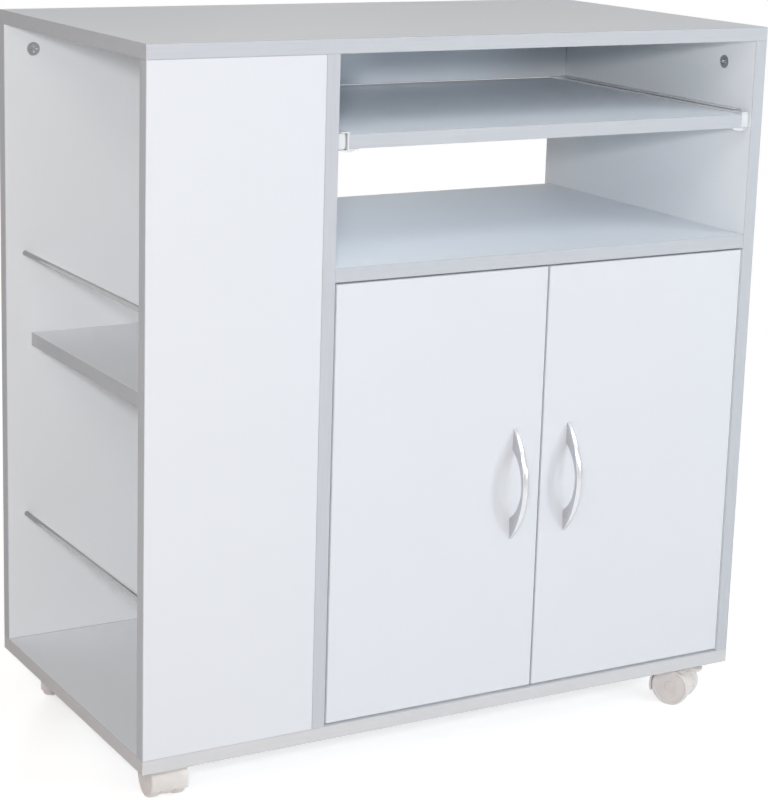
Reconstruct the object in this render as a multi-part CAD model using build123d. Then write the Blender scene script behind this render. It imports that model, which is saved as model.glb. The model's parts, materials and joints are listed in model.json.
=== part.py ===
from build123d import *
from collections import defaultdict
from math import cos, radians, sin
import os

# A low kitchen storage cabinet on four twin-wheel casters. On the left an open shelf tower with two
# guard rods, on the right a pull-out shelf, an open niche and a cupboard with two inset doors.
# Millimetres. Everything is laid out from the front left corner on the floor: x to the right,
# y to the rear, z up. The finished solids are then centred over the part's origin.

# Overall sizes
width = 750.0
depth = 400.0
height = 800.0

# Boards
board = 15.0
edge_round = 0.6
hardboard = 3.0

# Layout of the bays
tower_width = 196.0
niche_height = 217.5
bay_height = 81.0
rail_setback = 20.0
rail_shelf_gap = 2.5
back_setback = 9.0
groove_depth = 4.0
groove_gap = 0.2

# Shelves and guard rods of the tower
tower_shelf_height = 365.0
tower_shelf_setback = 30.5
rod_diameter = 6.0
rod_seat = 8.0
rod_setback = 23.5
upper_rod_height = 92.5
lower_rod_height = 150.5

# Loose shelf in the cupboard
cupboard_shelf_height = 245.0
shelf_side_gap = 1.0
shelf_rear_gap = 3.0
shelf_door_gap = 10.0
pin_diameter = 5.0
pin_length = 16.0
pin_inset = 60.0

# Fastenings inside the boards
fit_gap = 0.05
cam_diameter = 15.0
cam_play = 0.5
cam_skin = 2.5
cam_backset = 28.0
cam_inset = 34.8
cam_depth_inset = 54.0
bolt_diameter = 6.0
bolt_neck = 4.0
bolt_head = 6.6
bolt_head_length = 3.2
bolt_neck_length = 3.0
bolt_bite = 11.0
bolt_passage = 7.0
dowel_diameter = 8.0
dowel_in_edge = 20.0
dowel_in_face = 10.0
dowel_from_cam = 32.0
screw_shank = 7.0
screw_thread = 5.0
screw_bite = 35.0
screw_head = 10.0
screw_head_height = 4.0
screw_inset = 50.0
tower_screw_inset = 40.0
tower_dowel_top_inset = 100.0
recess_depth = 2.0
recess_share = 0.55
recess_slot_share = 0.12

# Roller slides of the pull-out shelf
slide_gap = 12.5
slide_metal = 1.2
slide_setback = 12.0
slide_rear_gap = 3.0
slide_flange = 10.0
slide_below_shelf = 4.7
slide_above_shelf = 4.2
slide_front_round = 9.0
runner_above_shelf = 2.3
runner_flange = 7.3
runner_ledge = 11.5
runner_setback = 1.0
runner_rear_gap = 9.0
shelf_front_setback = 1.0
shelf_behind_rail = 18.0
nose_width = 20.0
nose_drop = 2.6
nose_length = 15.0
nose_setback = 2.0
roller_diameter = 19.0
roller_width = 8.0
roller_web_gap = 1.0
roller_play = 0.3
roller_inset = 21.0
rear_roller_inset = 15.0
rivet_diameter = 5.0
rivet_head = 9.0
rivet_head_height = 0.7
rivet_head_gap = 0.1
slide_screw_diameter = 3.5
slide_screw_head = 6.6
slide_screw_length = 12.0
shelf_screw_head = 7.0
shelf_screw_head_height = 2.0
shelf_screw_line = 6.5
runner_screw_inset = 28.0
roller_round = 0.8
rear_web_gap = 0.6

# Doors
door_side_gap = 2.2
door_middle_gap = 2.3
door_top_gap = 2.0
door_bottom_gap = 3.5
door_round = 0.8

# Bow handles
handle_length = 126.0
handle_spacing = 96.0
handle_projection = 26.0
handle_width = 6.5
handle_thickness = 5.0
handle_foot = 24.0
handle_round = 1.1
handle_offset = 35.0
handle_screw_diameter = 4.0
handle_screw_bite = 8.0
handle_screw_head = 8.0
handle_screw_head_height = 2.6
screw_head_round = 0.8
driver_share = 0.6

# Concealed hinges. The pin stands in the cup, the arm reaches back to a plate on the panel.
hinge_inset = 90.0
cup_diameter = 35.0
cup_wall = 1.0
cup_skin = 3.2
cup_floor = 0.8
cup_edge_distance = 4.5
cup_flange = 1.2
cup_wing = 26.0
cup_wing_width = 16.0
cup_wing_round = 4.0
cup_rim = 1.5
cup_rim_trim = 9.0
pin_depth = 7.0
pin_edge_distance = 14.0
hinge_pin_diameter = 3.0
hinge_pin_length = 29.0
eye_diameter = 5.2
arm_width = 12.0
arm_metal = 2.0
arm_reach = 13.0
arm_drop = 17.0
plate_height = 62.0
plate_width = 20.0
plate_metal = 2.0
plate_setback = 52.0
plate_screw_spacing = 32.0
boss_height = 14.0
boss_front = 30.0
boss_rear = 75.0
boss_standoff = 10.0
arm_screw_inset = 10.0
hinge_plate_round = 4.0
hinge_screw_diameter = 4.0
hinge_screw_head = 7.0
hinge_screw_head_height = 2.0
hinge_screw_length = 12.0

# Twin-wheel casters
wheel_diameter = 45.0
wheel_width = 12.0
wheel_gap = 0.5
wheel_round = 2.0
wheel_dish = 1.0
wheel_rim = 3.5
cap_diameter = 13.0
trail = 13.5
hood_gap = 0.8
hood_wall = 2.0
hood_start = 50.0
hood_end = 200.0
bridge_start = 72.0
web_half = 7.5
web_radius = 21.0
boss_above_hood = 4.3
boss_height_over_web = 7.6
boss_diameter = 18.0
swivel_gap = 0.4
caster_plate = 42.0
caster_plate_metal = 2.5
caster_plate_round = 5.0
caster_inset = 50.0
kingpin_diameter = 8.0
kingpin_length = 20.5
kingpin_end_gap = 0.5
axle_diameter = 6.0
axle_end_gap = 4.0
caster_screw_spacing = 31.0
caster_screw_diameter = 4.0
caster_screw_head = 7.5
caster_screw_head_height = 2.2
caster_screw_length = 14.0

# Brake lever of the two front casters
lever_angle = 58.0
lever_out = 26.2
lever_half = 7.0
lever_barrel = 5.0
lever_gap = 0.3
lever_swing_gap = 0.6
lever_tab_round = 4.0
lever_tab = 3.0
lever_reach = 17.6
lug_width = 3.0
lug_diameter = 5.6
trunnion_diameter = 3.0

# The way each caster's wheels trail, turned from +x, in degrees
caster_yaws = {"front_left": 86.0, "front_right": -57.0, "rear_left": 52.6, "rear_right": 75.0}
braked = ("front_left", "front_right")

# Levels, from the floor up
wheel_radius = wheel_diameter / 2
hood_inner = wheel_radius + hood_gap
hood_outer = hood_inner + hood_wall
boss_top = wheel_radius + hood_outer + boss_above_hood
plate_low = boss_top + swivel_gap
base = plate_low + caster_plate_metal
floor_top = base + board
ceiling = height - board
niche_top = ceiling - niche_height
niche_low = niche_top - board
tower_shelf_top = floor_top + tower_shelf_height
cupboard_shelf_top = floor_top + cupboard_shelf_height
pull_top = ceiling - bay_height
pull_low = pull_top - board
rail_low = pull_top + rail_shelf_gap

# Places along x and y
divider_left = tower_width
divider_right = tower_width + board
side_left = width - board
tower_back = depth - board
rail_rear = depth - rail_setback
rail_front = rail_rear - board
back_rear = depth - back_setback
back_front = back_rear - hardboard
middle = (divider_right + side_left) / 2

nodes = {}
cuts = defaultdict(list)
cams = []
bolts = []
dowels = []
screws = []


# Helpers

def slab(x, y, z):
    """A block between the two values of each pair."""
    size = [pair[1] - pair[0] for pair in (x, y, z)]
    return Pos(x[0], y[0], z[0]) * Box(*size, align=(Align.MIN, Align.MIN, Align.MIN))


def panel(x, y, z, radius=edge_round):
    """A board with its edges slightly rounded."""
    return fillet(slab(x, y, z).edges(), radius)


def bar(start, direction, diameter, length):
    """A round bar from a point along a direction."""
    plane = Plane(origin=start, z_dir=direction)
    return plane * Cylinder(diameter / 2, length, align=(Align.CENTER, Align.CENTER, Align.MIN))


def flipped(solid):
    """The same piece made for the other side."""
    return mirror(solid, about=Plane.YZ)


def keep(name, pieces):
    """Put finished solids in a named node."""
    nodes[name] = list(pieces)


def cross(head, deep):
    """The driver recess of a head of this diameter, cut down from z = 0."""
    one = Pos(0, 0, -deep / 2) * Box(head * recess_share, head * recess_slot_share, deep)
    return one + Rot(0, 0, 90) * one


# Cam locks. The frame's origin is the cam's centre on the board's face, z points out of the face
# and x towards the board that is pulled in.

def make_cam():
    disc = bar((0, 0, 0), (0, 0, -1), cam_diameter, board - cam_skin)
    hollow = bar((-bolt_head_length, 0, -board / 2), (1, 0, 0), bolt_head + 2 * cam_play, cam_diameter)
    return disc - hollow - cross(cam_diameter, recess_depth)


def make_cam_bolt():
    head_end = bolt_head_length / 2
    neck_end = head_end + bolt_neck_length
    head = bar((-head_end, 0, -board / 2), (1, 0, 0), bolt_head, bolt_head_length)
    neck = bar((head_end, 0, -board / 2), (1, 0, 0), bolt_neck, bolt_neck_length)
    shank = bar((neck_end, 0, -board / 2), (1, 0, 0), bolt_diameter, cam_backset + bolt_bite - neck_end)
    return head + neck + shank


cam = make_cam()
cam_bolt = make_cam_bolt()
cam_pocket = bar((0, 0, 0), (0, 0, -1), cam_diameter + 2 * fit_gap, board - cam_skin + fit_gap)
bolt_way = bar((0, 0, -board / 2), (1, 0, 0), bolt_passage, cam_backset)
bolt_seat = bar((cam_backset, 0, -board / 2), (1, 0, 0), bolt_diameter + 2 * fit_gap, bolt_bite + fit_gap)


def cam_joint(place, held, pulled_to):
    cams.append(place * cam)
    bolts.append(place * cam_bolt)
    cuts[held] += [place * cam_pocket, place * bolt_way]
    cuts[pulled_to].append(place * bolt_seat)


def dowel_joint(point, direction, edge_of, face_of):
    """A dowel across a joint at a point, pointing into the face it enters."""
    way = Vector(*direction)
    start = Vector(*point) - way * dowel_in_edge
    length = dowel_in_edge + dowel_in_face
    dowels.append(bar(start, direction, dowel_diameter, length))
    hole_start = start - way * fit_gap
    hole = bar(hole_start, direction, dowel_diameter + 2 * fit_gap, length + 2 * fit_gap)
    cuts[edge_of].append(hole)
    cuts[face_of].append(hole)


def screw_joint(x, y, held):
    """A long screw up through the bottom board into the end of an upright board."""
    start = (x, y, base)
    head = bar(start, (0, 0, 1), screw_head, screw_head_height)
    shank = bar(start, (0, 0, 1), screw_shank, board)
    thread = bar(start, (0, 0, 1), screw_thread, board + screw_bite)
    recess = Pos(x, y, base) * Rot(180, 0, 0) * cross(screw_head, recess_depth)
    screws.append(head + shank + thread - recess)
    cuts["bottom_board"] += [
        bar(start, (0, 0, 1), screw_head + 2 * fit_gap, screw_head_height + fit_gap),
        bar(start, (0, 0, 1), screw_shank + 2 * fit_gap, board),
    ]
    cuts[held].append(bar(start, (0, 0, 1), screw_thread + 2 * fit_gap, board + screw_bite + fit_gap))


# Boards of the case, each as its three spans

boards = {
    "top_board": ((0, width), (0, depth), (ceiling, height)),
    "bottom_board": ((0, width), (0, depth), (base, floor_top)),
    "right_side_panel": ((side_left, width), (0, depth), (floor_top, ceiling)),
    "divider_panel": ((divider_left, divider_right), (0, depth), (floor_top, ceiling)),
    "left_front_panel": ((0, divider_left), (0, board), (floor_top, ceiling)),
    "left_rear_panel": ((0, divider_left), (tower_back, depth), (floor_top, ceiling)),
    "niche_floor": ((divider_right, side_left), (0, back_front), (niche_low, niche_top)),
    "back_rail": ((divider_right, side_left), (rail_front, rail_rear), (rail_low, ceiling)),
    "left_shelf": ((tower_shelf_setback, divider_left), (board, tower_back),
                   (tower_shelf_top - board, tower_shelf_top)),
}

# Uprights to the top board: cam locks on their hidden or inner faces, with dowels between

front_cam = cam_depth_inset
rear_cam = depth - cam_depth_inset
left_cam = cam_inset
right_cam = tower_width - cam_inset
cam_level = ceiling - cam_backset

for y in (front_cam, rear_cam):
    towards = 1 if y == front_cam else -1
    for name, face, normal, centre in (
        ("right_side_panel", side_left, -1, side_left + board / 2),
        ("divider_panel", divider_right, 1, divider_right - board / 2),
    ):
        place = Plane(origin=(face, y, cam_level), x_dir=(0, 0, 1), z_dir=(normal, 0, 0))
        cam_joint(place, name, "top_board")
        dowel_joint((centre, y + towards * dowel_from_cam, ceiling), (0, 0, 1), name, "top_board")

for x in (left_cam, right_cam):
    towards = 1 if x == left_cam else -1
    for name, face, normal, centre in (
        ("left_front_panel", board, 1, board / 2),
        ("left_rear_panel", tower_back, -1, depth - board / 2),
    ):
        place = Plane(origin=(x, face, cam_level), x_dir=(0, 0, 1), z_dir=(0, normal, 0))
        cam_joint(place, name, "top_board")
        dowel_joint((x + towards * dowel_from_cam, centre, ceiling), (0, 0, 1), name, "top_board")

# Niche floor, tower shelf and back rail, locked from their underside or rear

rail_middle = (rail_low + ceiling) / 2
for x, way, upright in ((divider_right, -1, "divider_panel"), (side_left, 1, "right_side_panel")):
    for y, towards in ((pin_inset, 1), (back_front - pin_inset, -1)):
        place = Plane(origin=(x - way * cam_backset, y, niche_low), x_dir=(way, 0, 0), z_dir=(0, 0, -1))
        cam_joint(place, "niche_floor", upright)
        joint_point = (x, y + towards * dowel_from_cam, niche_low + board / 2)
        dowel_joint(joint_point, (way, 0, 0), "niche_floor", upright)
    place = Plane(origin=(x - way * cam_backset, rail_rear, rail_middle), x_dir=(way, 0, 0), z_dir=(0, 1, 0))
    cam_joint(place, "back_rail", upright)
    for z in (rail_middle - dowel_in_edge, rail_middle + dowel_in_edge):
        dowel_joint((x, rail_front + board / 2, z), (way, 0, 0), "back_rail", upright)

shelf_span = divider_left - tower_shelf_setback
for y, way, upright in ((board, -1, "left_front_panel"), (tower_back, 1, "left_rear_panel")):
    for x in (tower_shelf_setback + cam_backset, divider_left - cam_backset):
        place = Plane(origin=(x, y - way * cam_backset, tower_shelf_top - board),
                      x_dir=(0, way, 0), z_dir=(0, 0, -1))
        cam_joint(place, "left_shelf", upright)
    joint_point = (tower_shelf_setback + shelf_span / 2, y, tower_shelf_top - board / 2)
    dowel_joint(joint_point, (0, way, 0), "left_shelf", upright)

# Front and rear panels of the tower, dowelled to the divider

for name, centre in (("left_front_panel", board / 2), ("left_rear_panel", depth - board / 2)):
    for z in (floor_top + screw_inset, (floor_top + ceiling) / 2, ceiling - tower_dowel_top_inset):
        dowel_joint((divider_left, centre, z), (1, 0, 0), name, "divider_panel")

# Screws up through the bottom board

for x in (tower_screw_inset, divider_left - tower_screw_inset):
    screw_joint(x, board / 2, "left_front_panel")
    screw_joint(x, depth - board / 2, "left_rear_panel")
for y in (screw_inset, depth - screw_inset):
    screw_joint(width - board / 2, y, "right_side_panel")
for y in (pin_inset, depth / 2, depth - pin_inset):
    screw_joint(divider_left + board / 2, y, "divider_panel")

# Guard rods across the open side of the tower

rods = {
    "upper_guard_rod": tower_shelf_top + upper_rod_height,
    "lower_guard_rod": floor_top + lower_rod_height,
}
for name, z in rods.items():
    start = (rod_setback, board - rod_seat, z)
    length = tower_back - board + 2 * rod_seat
    keep(name, [bar(start, (0, 1, 0), rod_diameter, length)])
    seat = bar((rod_setback, board - rod_seat - fit_gap, z), (0, 1, 0),
               rod_diameter + 2 * fit_gap, length + 2 * fit_gap)
    cuts["left_front_panel"].append(seat)
    cuts["left_rear_panel"].append(seat)

# Hardboard back of the cupboard, slid into grooves, with its top behind the niche floor

groove_top = niche_top - edge_round
groove_spans = ((divider_right - groove_depth - groove_gap, side_left + groove_depth + groove_gap),
                (back_front - groove_gap, back_rear + groove_gap),
                (floor_top - groove_depth - groove_gap, groove_top + groove_gap))
groove = slab(*groove_spans)
for name in ("divider_panel", "right_side_panel", "bottom_board"):
    cuts[name].append(groove)
keep("cupboard_back_panel", [slab(
    (divider_right - groove_depth, side_left + groove_depth),
    (back_front, back_rear),
    (floor_top - groove_depth, groove_top))])

# Loose shelf on four pins

shelf_low = cupboard_shelf_top - board
keep("cupboard_shelf", [panel(
    (divider_right + shelf_side_gap, side_left - shelf_side_gap),
    (board + shelf_door_gap, back_front - shelf_rear_gap),
    (shelf_low, cupboard_shelf_top))])
shelf_pins = []
for x, way, upright in ((divider_right, 1, "divider_panel"), (side_left, -1, "right_side_panel")):
    for y in (pin_inset, back_front - pin_inset):
        start = (x - way * pin_length / 2, y, shelf_low - pin_diameter / 2)
        shelf_pins.append(bar(start, (way, 0, 0), pin_diameter, pin_length))
        cuts[upright].append(bar((x, y, shelf_low - pin_diameter / 2), (-way, 0, 0),
                                 pin_diameter + 2 * fit_gap, pin_length / 2 + fit_gap))
keep("shelf_pins", shelf_pins)

# Roller slides. Drawn for the left side from the panel's face: x is the distance into the bay.
# The outer channel is screwed to the panel, the inner runner to the shelf.

channel_low = pull_low - slide_below_shelf
channel_high = pull_top + slide_above_shelf
channel_front = slide_setback
channel_rear = rail_front - slide_rear_gap
runner_low = pull_low - slide_metal
runner_high = pull_top + runner_above_shelf
runner_front = runner_setback
runner_rear = channel_rear - runner_rear_gap
web_out = slide_gap - slide_metal
roller_level = channel_low + slide_metal + roller_play + roller_diameter / 2
front_roller_y = channel_front + roller_inset
rear_roller_y = runner_rear - rear_roller_inset
front_roller_x = slide_metal + roller_web_gap
rear_roller_x = web_out - rear_web_gap - roller_width
channel_screws = [front_roller_y + roller_diameter, (channel_front + channel_rear) / 2,
                  channel_rear - roller_diameter]
runner_screws = [runner_front + runner_screw_inset, (runner_front + runner_rear) / 2,
                 runner_rear - runner_screw_inset]


def countersunk(start, direction):
    """A flush screw through thin metal, its head up at the start."""
    plane = Plane(origin=start, z_dir=direction)
    head = plane * Cone(slide_screw_head / 2, slide_screw_diameter / 2, slide_metal,
                        align=(Align.CENTER, Align.CENTER, Align.MIN))
    shank = bar(start, direction, slide_screw_diameter, slide_screw_length)
    return head, head + shank


def make_channel():
    web = slab((0, slide_metal), (channel_front, channel_rear), (channel_low, channel_high))
    corners = web.edges().filter_by(Axis.X).group_by(Axis.Y)[0]
    web = fillet(corners, slide_front_round)
    flange_front = channel_front + slide_front_round
    for low in (channel_low, channel_high - slide_metal):
        web += slab((0, slide_flange), (flange_front, channel_rear), (low, low + slide_metal))
    for y in channel_screws:
        web -= countersunk((slide_metal, y, roller_level), (-1, 0, 0))[0]
    return web


def make_runner():
    web = slab((web_out, slide_gap), (runner_front, runner_rear), (runner_low, runner_high))
    ledge = slab((web_out, slide_gap + runner_ledge), (runner_front, runner_rear), (runner_low, pull_low))
    lip = slab((slide_gap - slide_metal - runner_flange, slide_gap), (runner_front, runner_rear),
               (runner_high - slide_metal, runner_high))
    rise = nose_width ** 2 / 8 / nose_drop + nose_drop / 2
    nose_front = runner_front + nose_setback
    disc = bar((slide_gap, nose_front, runner_low - nose_drop + rise), (0, 1, 0), 2 * rise, nose_length)
    below = slab((slide_gap - nose_width, slide_gap + nose_width),
                 (nose_front, nose_front + nose_length), (runner_low - 2 * nose_drop, runner_low))
    solid = web + ledge + lip + (disc & below)
    for y in runner_screws:
        x = slide_gap + shelf_screw_line
        solid -= bar((x, y, runner_low), (0, 0, 1), slide_screw_diameter + 2 * fit_gap, slide_metal)
    return solid


def make_roller(x, y):
    wheel = bar((x, y, roller_level), (1, 0, 0), roller_diameter, roller_width)
    wheel = fillet(wheel.edges(), roller_round)
    return wheel - bar((x, y, roller_level), (1, 0, 0), rivet_diameter + 2 * fit_gap, roller_width)


def make_rivet(foot, y, way, end):
    """A rivet from the metal it is set in, through its roller to a round head."""
    shank = bar((foot, y, roller_level), (way, 0, 0), rivet_diameter, abs(end - foot))
    head = bar((end, y, roller_level), (way, 0, 0), rivet_head, rivet_head_height)
    return shank + head


front_rivet = make_rivet(slide_metal, front_roller_y, 1, front_roller_x + roller_width + rivet_head_gap)
rear_rivet = make_rivet(web_out, rear_roller_y, -1, rear_roller_x - rivet_head_gap)
slide_parts = {
    "slide_cabinet": [make_channel(), front_rivet],
    "slide_drawer": [make_runner(), rear_rivet],
    "front_roller": [make_roller(front_roller_x, front_roller_y)],
    "rear_roller": [make_roller(rear_roller_x, rear_roller_y)],
}
panel_screws = [countersunk((slide_metal, y, roller_level), (-1, 0, 0))[1] for y in channel_screws]
shelf_screws = []
for y in runner_screws:
    x = slide_gap + shelf_screw_line
    head = bar((x, y, runner_low), (0, 0, -1), shelf_screw_head, shelf_screw_head_height)
    shank = bar((x, y, runner_low), (0, 0, 1), slide_screw_diameter, slide_screw_length)
    shelf_screws.append(head + shank)


def on_both_sides(solids):
    """Left ones at the divider, right ones mirrored at the side panel."""
    left = [Pos(divider_right, 0, 0) * solid for solid in solids]
    right = [Pos(side_left, 0, 0) * flipped(solid) for solid in solids]
    return left, right


for name, solids in slide_parts.items():
    left, right = on_both_sides(solids)
    keep(name + "_left", left)
    keep(name + "_right", right)

left, right = on_both_sides(panel_screws)
keep("slide_panel_screws", left + right)
hole_length = slide_screw_length - slide_metal + fit_gap
for y in channel_screws:
    hole_size = slide_screw_diameter + 2 * fit_gap
    cuts["divider_panel"].append(bar((divider_right, y, roller_level), (-1, 0, 0), hole_size, hole_length))
    cuts["right_side_panel"].append(bar((side_left, y, roller_level), (1, 0, 0), hole_size, hole_length))

left, right = on_both_sides(shelf_screws)
keep("slide_shelf_screws", left + right)
pull_out = panel((divider_right + slide_gap, side_left - slide_gap),
                 (shelf_front_setback, rail_front + shelf_behind_rail), (pull_low, pull_top))
for solid in left + right:
    grown = Pos(0, 0, fit_gap) * solid
    pull_out -= [solid, grown]
keep("pull_out_shelf", [pull_out])


# Bow handles, drawn around the middle of the door's face, reaching towards -y

def make_handle():
    half = handle_length / 2
    inner_half = half - handle_foot
    inner_rise = handle_projection - handle_thickness
    outer = ThreePointArc((0, -half), (-handle_projection, 0), (0, half))
    inner = ThreePointArc((0, inner_half), (-inner_rise, 0), (0, -inner_half))
    outline = outer + Line((0, half), (0, inner_half)) + inner + Line((0, -inner_half), (0, -half))
    bow = extrude(Plane.YZ * make_face(outline), handle_width / 2, both=True)
    crest = bow.edges().filter_by(GeomType.CIRCLE).group_by(Axis.Y)[0]
    bow = fillet(crest, handle_round)
    for z in (-handle_spacing / 2, handle_spacing / 2):
        bow -= bar((0, 0, z), (0, -1, 0), handle_screw_diameter + 2 * fit_gap, handle_screw_bite + fit_gap)
    return bow


def make_handle_screw(z):
    shank_start = (0, board, z)
    shank = bar(shank_start, (0, -1, 0), handle_screw_diameter, board + handle_screw_bite)
    head = bar(shank_start, (0, 1, 0), handle_screw_head, handle_screw_head_height)
    head = fillet(head.edges().group_by(Axis.Y)[-1], screw_head_round)
    top = Plane(origin=(0, board + handle_screw_head_height, z), z_dir=(0, 1, 0))
    return shank + head - top * cross(handle_screw_head, handle_screw_head_height * driver_share)


# Hinges, drawn for the left door from the side panel's face, around z = 0: x is the distance from
# the panel, y from the door's front.

pin_x = door_side_gap + pin_edge_distance
cup_x = door_side_gap + cup_edge_distance + cup_diameter / 2
cup_back = board
cup_low = cup_skin
arm_screw_y = boss_rear - arm_screw_inset


def make_cup():
    deep = cup_back - cup_low
    cup = bar((cup_x, cup_low, 0), (0, 1, 0), cup_diameter, deep)
    wings = slab((cup_x - cup_wing_width / 2, cup_x + cup_wing_width / 2), (cup_back, cup_back + cup_flange),
                 (-cup_wing, cup_wing))
    wings = fillet(wings.edges().filter_by(Axis.Y), cup_wing_round)
    rim = bar((cup_x, cup_back, 0), (0, 1, 0), cup_diameter + 2 * cup_rim, cup_flange)
    bore = bar((cup_x, cup_low + cup_floor, 0), (0, 1, 0), cup_diameter - 2 * cup_wall,
               deep + cup_flange)
    beyond = slab((pin_x - cup_diameter, pin_x - cup_rim_trim), (cup_back, cup_back + cup_flange),
                  (-cup_diameter, cup_diameter))
    pin_hole = bar((pin_x, pin_depth, -hinge_pin_length / 2), (0, 0, 1),
                   hinge_pin_diameter + 2 * fit_gap, hinge_pin_length)
    return cup + (rim - beyond) + wings - bore - pin_hole


def make_arm():
    """A strap from the pin, out of the cup, across and back to the plate."""
    back_x = boss_standoff + arm_metal / 2 - pin_x
    path = Polyline((0, 0), (arm_reach, 0), (arm_reach, arm_drop), (back_x, arm_drop),
                    (back_x, boss_rear - pin_depth))
    strap = extrude(trace(path, arm_metal), arm_width / 2, both=True)
    eye = Cylinder(eye_diameter / 2, arm_width)
    bore = Cylinder(hinge_pin_diameter / 2 + fit_gap, arm_width)
    arm = Pos(pin_x, pin_depth, 0) * (strap + eye - bore)
    return arm - bar((boss_standoff, arm_screw_y, 0), (1, 0, 0),
                     hinge_screw_diameter + 2 * fit_gap, arm_metal)


def make_plate():
    base_plate = slab((0, plate_metal), (plate_setback - plate_width / 2, plate_setback + plate_width / 2),
                      (-plate_height / 2, plate_height / 2))
    base_plate = fillet(base_plate.edges().filter_by(Axis.X), hinge_plate_round)
    boss = slab((0, boss_standoff), (boss_front, boss_rear), (-boss_height / 2, boss_height / 2))
    plate = base_plate + boss
    plate -= bar((boss_standoff, arm_screw_y, 0), (-1, 0, 0), hinge_screw_diameter + 2 * fit_gap,
                 boss_standoff - plate_metal)
    for z in (-plate_screw_spacing / 2, plate_screw_spacing / 2):
        plate -= bar((0, plate_setback, z), (1, 0, 0), hinge_screw_diameter + 2 * fit_gap, plate_metal)
    return plate


def pan_screw(start, direction, diameter, head_size, head_height, length):
    """A screw whose head's underside is at the start and whose shank points along the direction."""
    way = Vector(*direction)
    shank = bar(start, direction, diameter, length)
    head = bar(start, way * -1, head_size, head_height)
    top = Plane(origin=Vector(*start) - way * head_height, z_dir=way * -1)
    return shank + head - top * cross(head_size, head_height * driver_share)


def make_plate_screws():
    made = [pan_screw((boss_standoff + arm_metal, arm_screw_y, 0), (-1, 0, 0), hinge_screw_diameter,
                      hinge_screw_head, hinge_screw_head_height, arm_metal + boss_standoff - 2 * plate_metal)]
    for z in (-plate_screw_spacing / 2, plate_screw_spacing / 2):
        made.append(pan_screw((plate_metal, plate_setback, z), (-1, 0, 0), hinge_screw_diameter,
                              hinge_screw_head, hinge_screw_head_height, plate_metal + hinge_screw_length))
    return made


door_low = floor_top + door_bottom_gap
door_high = niche_low - door_top_gap
handle_level = (door_low + door_high) / 2
hinge_levels = (door_low + hinge_inset, door_high - hinge_inset)
cup = make_cup()
arm = make_arm()
plate = make_plate()
plate_screws = make_plate_screws()
hinge_pin = bar((pin_x, pin_depth, -hinge_pin_length / 2), (0, 0, 1), hinge_pin_diameter, hinge_pin_length)
cup_hole = bar((cup_x, cup_low - fit_gap, 0), (0, 1, 0), cup_diameter + 2 * fit_gap, board)

doors = {
    "left": (divider_right, 1, divider_right + door_side_gap, middle - door_middle_gap / 2,
             middle - handle_offset, "divider_panel"),
    "right": (side_left, -1, middle + door_middle_gap / 2, side_left - door_side_gap,
              middle + handle_offset, "right_side_panel"),
}
hinge_plates = []
hinge_arms = []
hinge_plate_screws = []


def at_hinges(solid, face, way):
    """Copies of a hinge piece at both levels of a door, mirrored for the right one."""
    drawn = solid if way > 0 else flipped(solid)
    return [Pos(face, 0, z) * drawn for z in hinge_levels]


for side, (face, way, low, high, handle_x, upright) in doors.items():
    leaf = panel((low, high), (0, board), (door_low, door_high), door_round)
    leaf -= at_hinges(cup_hole, face, way)
    handle_screws = [Pos(handle_x, 0, handle_level) * make_handle_screw(z)
                     for z in (-handle_spacing / 2, handle_spacing / 2)]
    for z in (-handle_spacing / 2, handle_spacing / 2):
        leaf -= bar((handle_x, 0, handle_level + z), (0, 1, 0), handle_screw_diameter + 2 * fit_gap, board)
    keep(side + "_door", [leaf])
    keep(side + "_handle", [Pos(handle_x, 0, handle_level) * make_handle()])
    keep(side + "_handle_screws", handle_screws)
    keep(side + "_hinge_cups", at_hinges(cup, face, way))
    keep(side + "_hinge_pins", at_hinges(hinge_pin, face, way))
    hinge_plates += at_hinges(plate, face, way)
    hinge_arms += at_hinges(arm, face, way)
    for screw in plate_screws:
        hinge_plate_screws += at_hinges(screw, face, way)
    for z in hinge_levels:
        for offset in (-plate_screw_spacing / 2, plate_screw_spacing / 2):
            cuts[upright].append(bar((face, plate_setback, z + offset), (-way, 0, 0),
                                     hinge_screw_diameter + 2 * fit_gap, hinge_screw_length + fit_gap))
keep("hinge_plates", hinge_plates)
keep("hinge_arms", hinge_arms)
keep("hinge_plate_screws", hinge_plate_screws)


# Casters, drawn around the swivel axis on the floor, with the wheels trailing towards +x

def around_wheel(radius, half):
    """A disc on the wheel's axis."""
    return bar((trail, -half, wheel_radius), (0, 1, 0), 2 * radius, 2 * half)


def sector(radius, half, start, end):
    """A wedge of that disc between two angles, from +x upwards."""
    reach = radius * 3
    mid = (start + end) / 2
    corners = [(reach * cos(radians(angle)), reach * sin(radians(angle)))
               for angle in (start, (start + mid) / 2, mid, (mid + end) / 2, end)]
    wedge = extrude(Plane.XZ * make_face(Polyline((0, 0), *corners, close=True)), half, both=True)
    return around_wheel(radius, half) & (Pos(trail, 0, wheel_radius) * wedge)


wheel_inner = web_half + wheel_gap
wheel_outer = wheel_inner + wheel_width
lever_x = trail + lever_out * cos(radians(lever_angle))
lever_z = wheel_radius + lever_out * sin(radians(lever_angle))
trunnion_end = lever_half + lever_gap + lug_width


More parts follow.
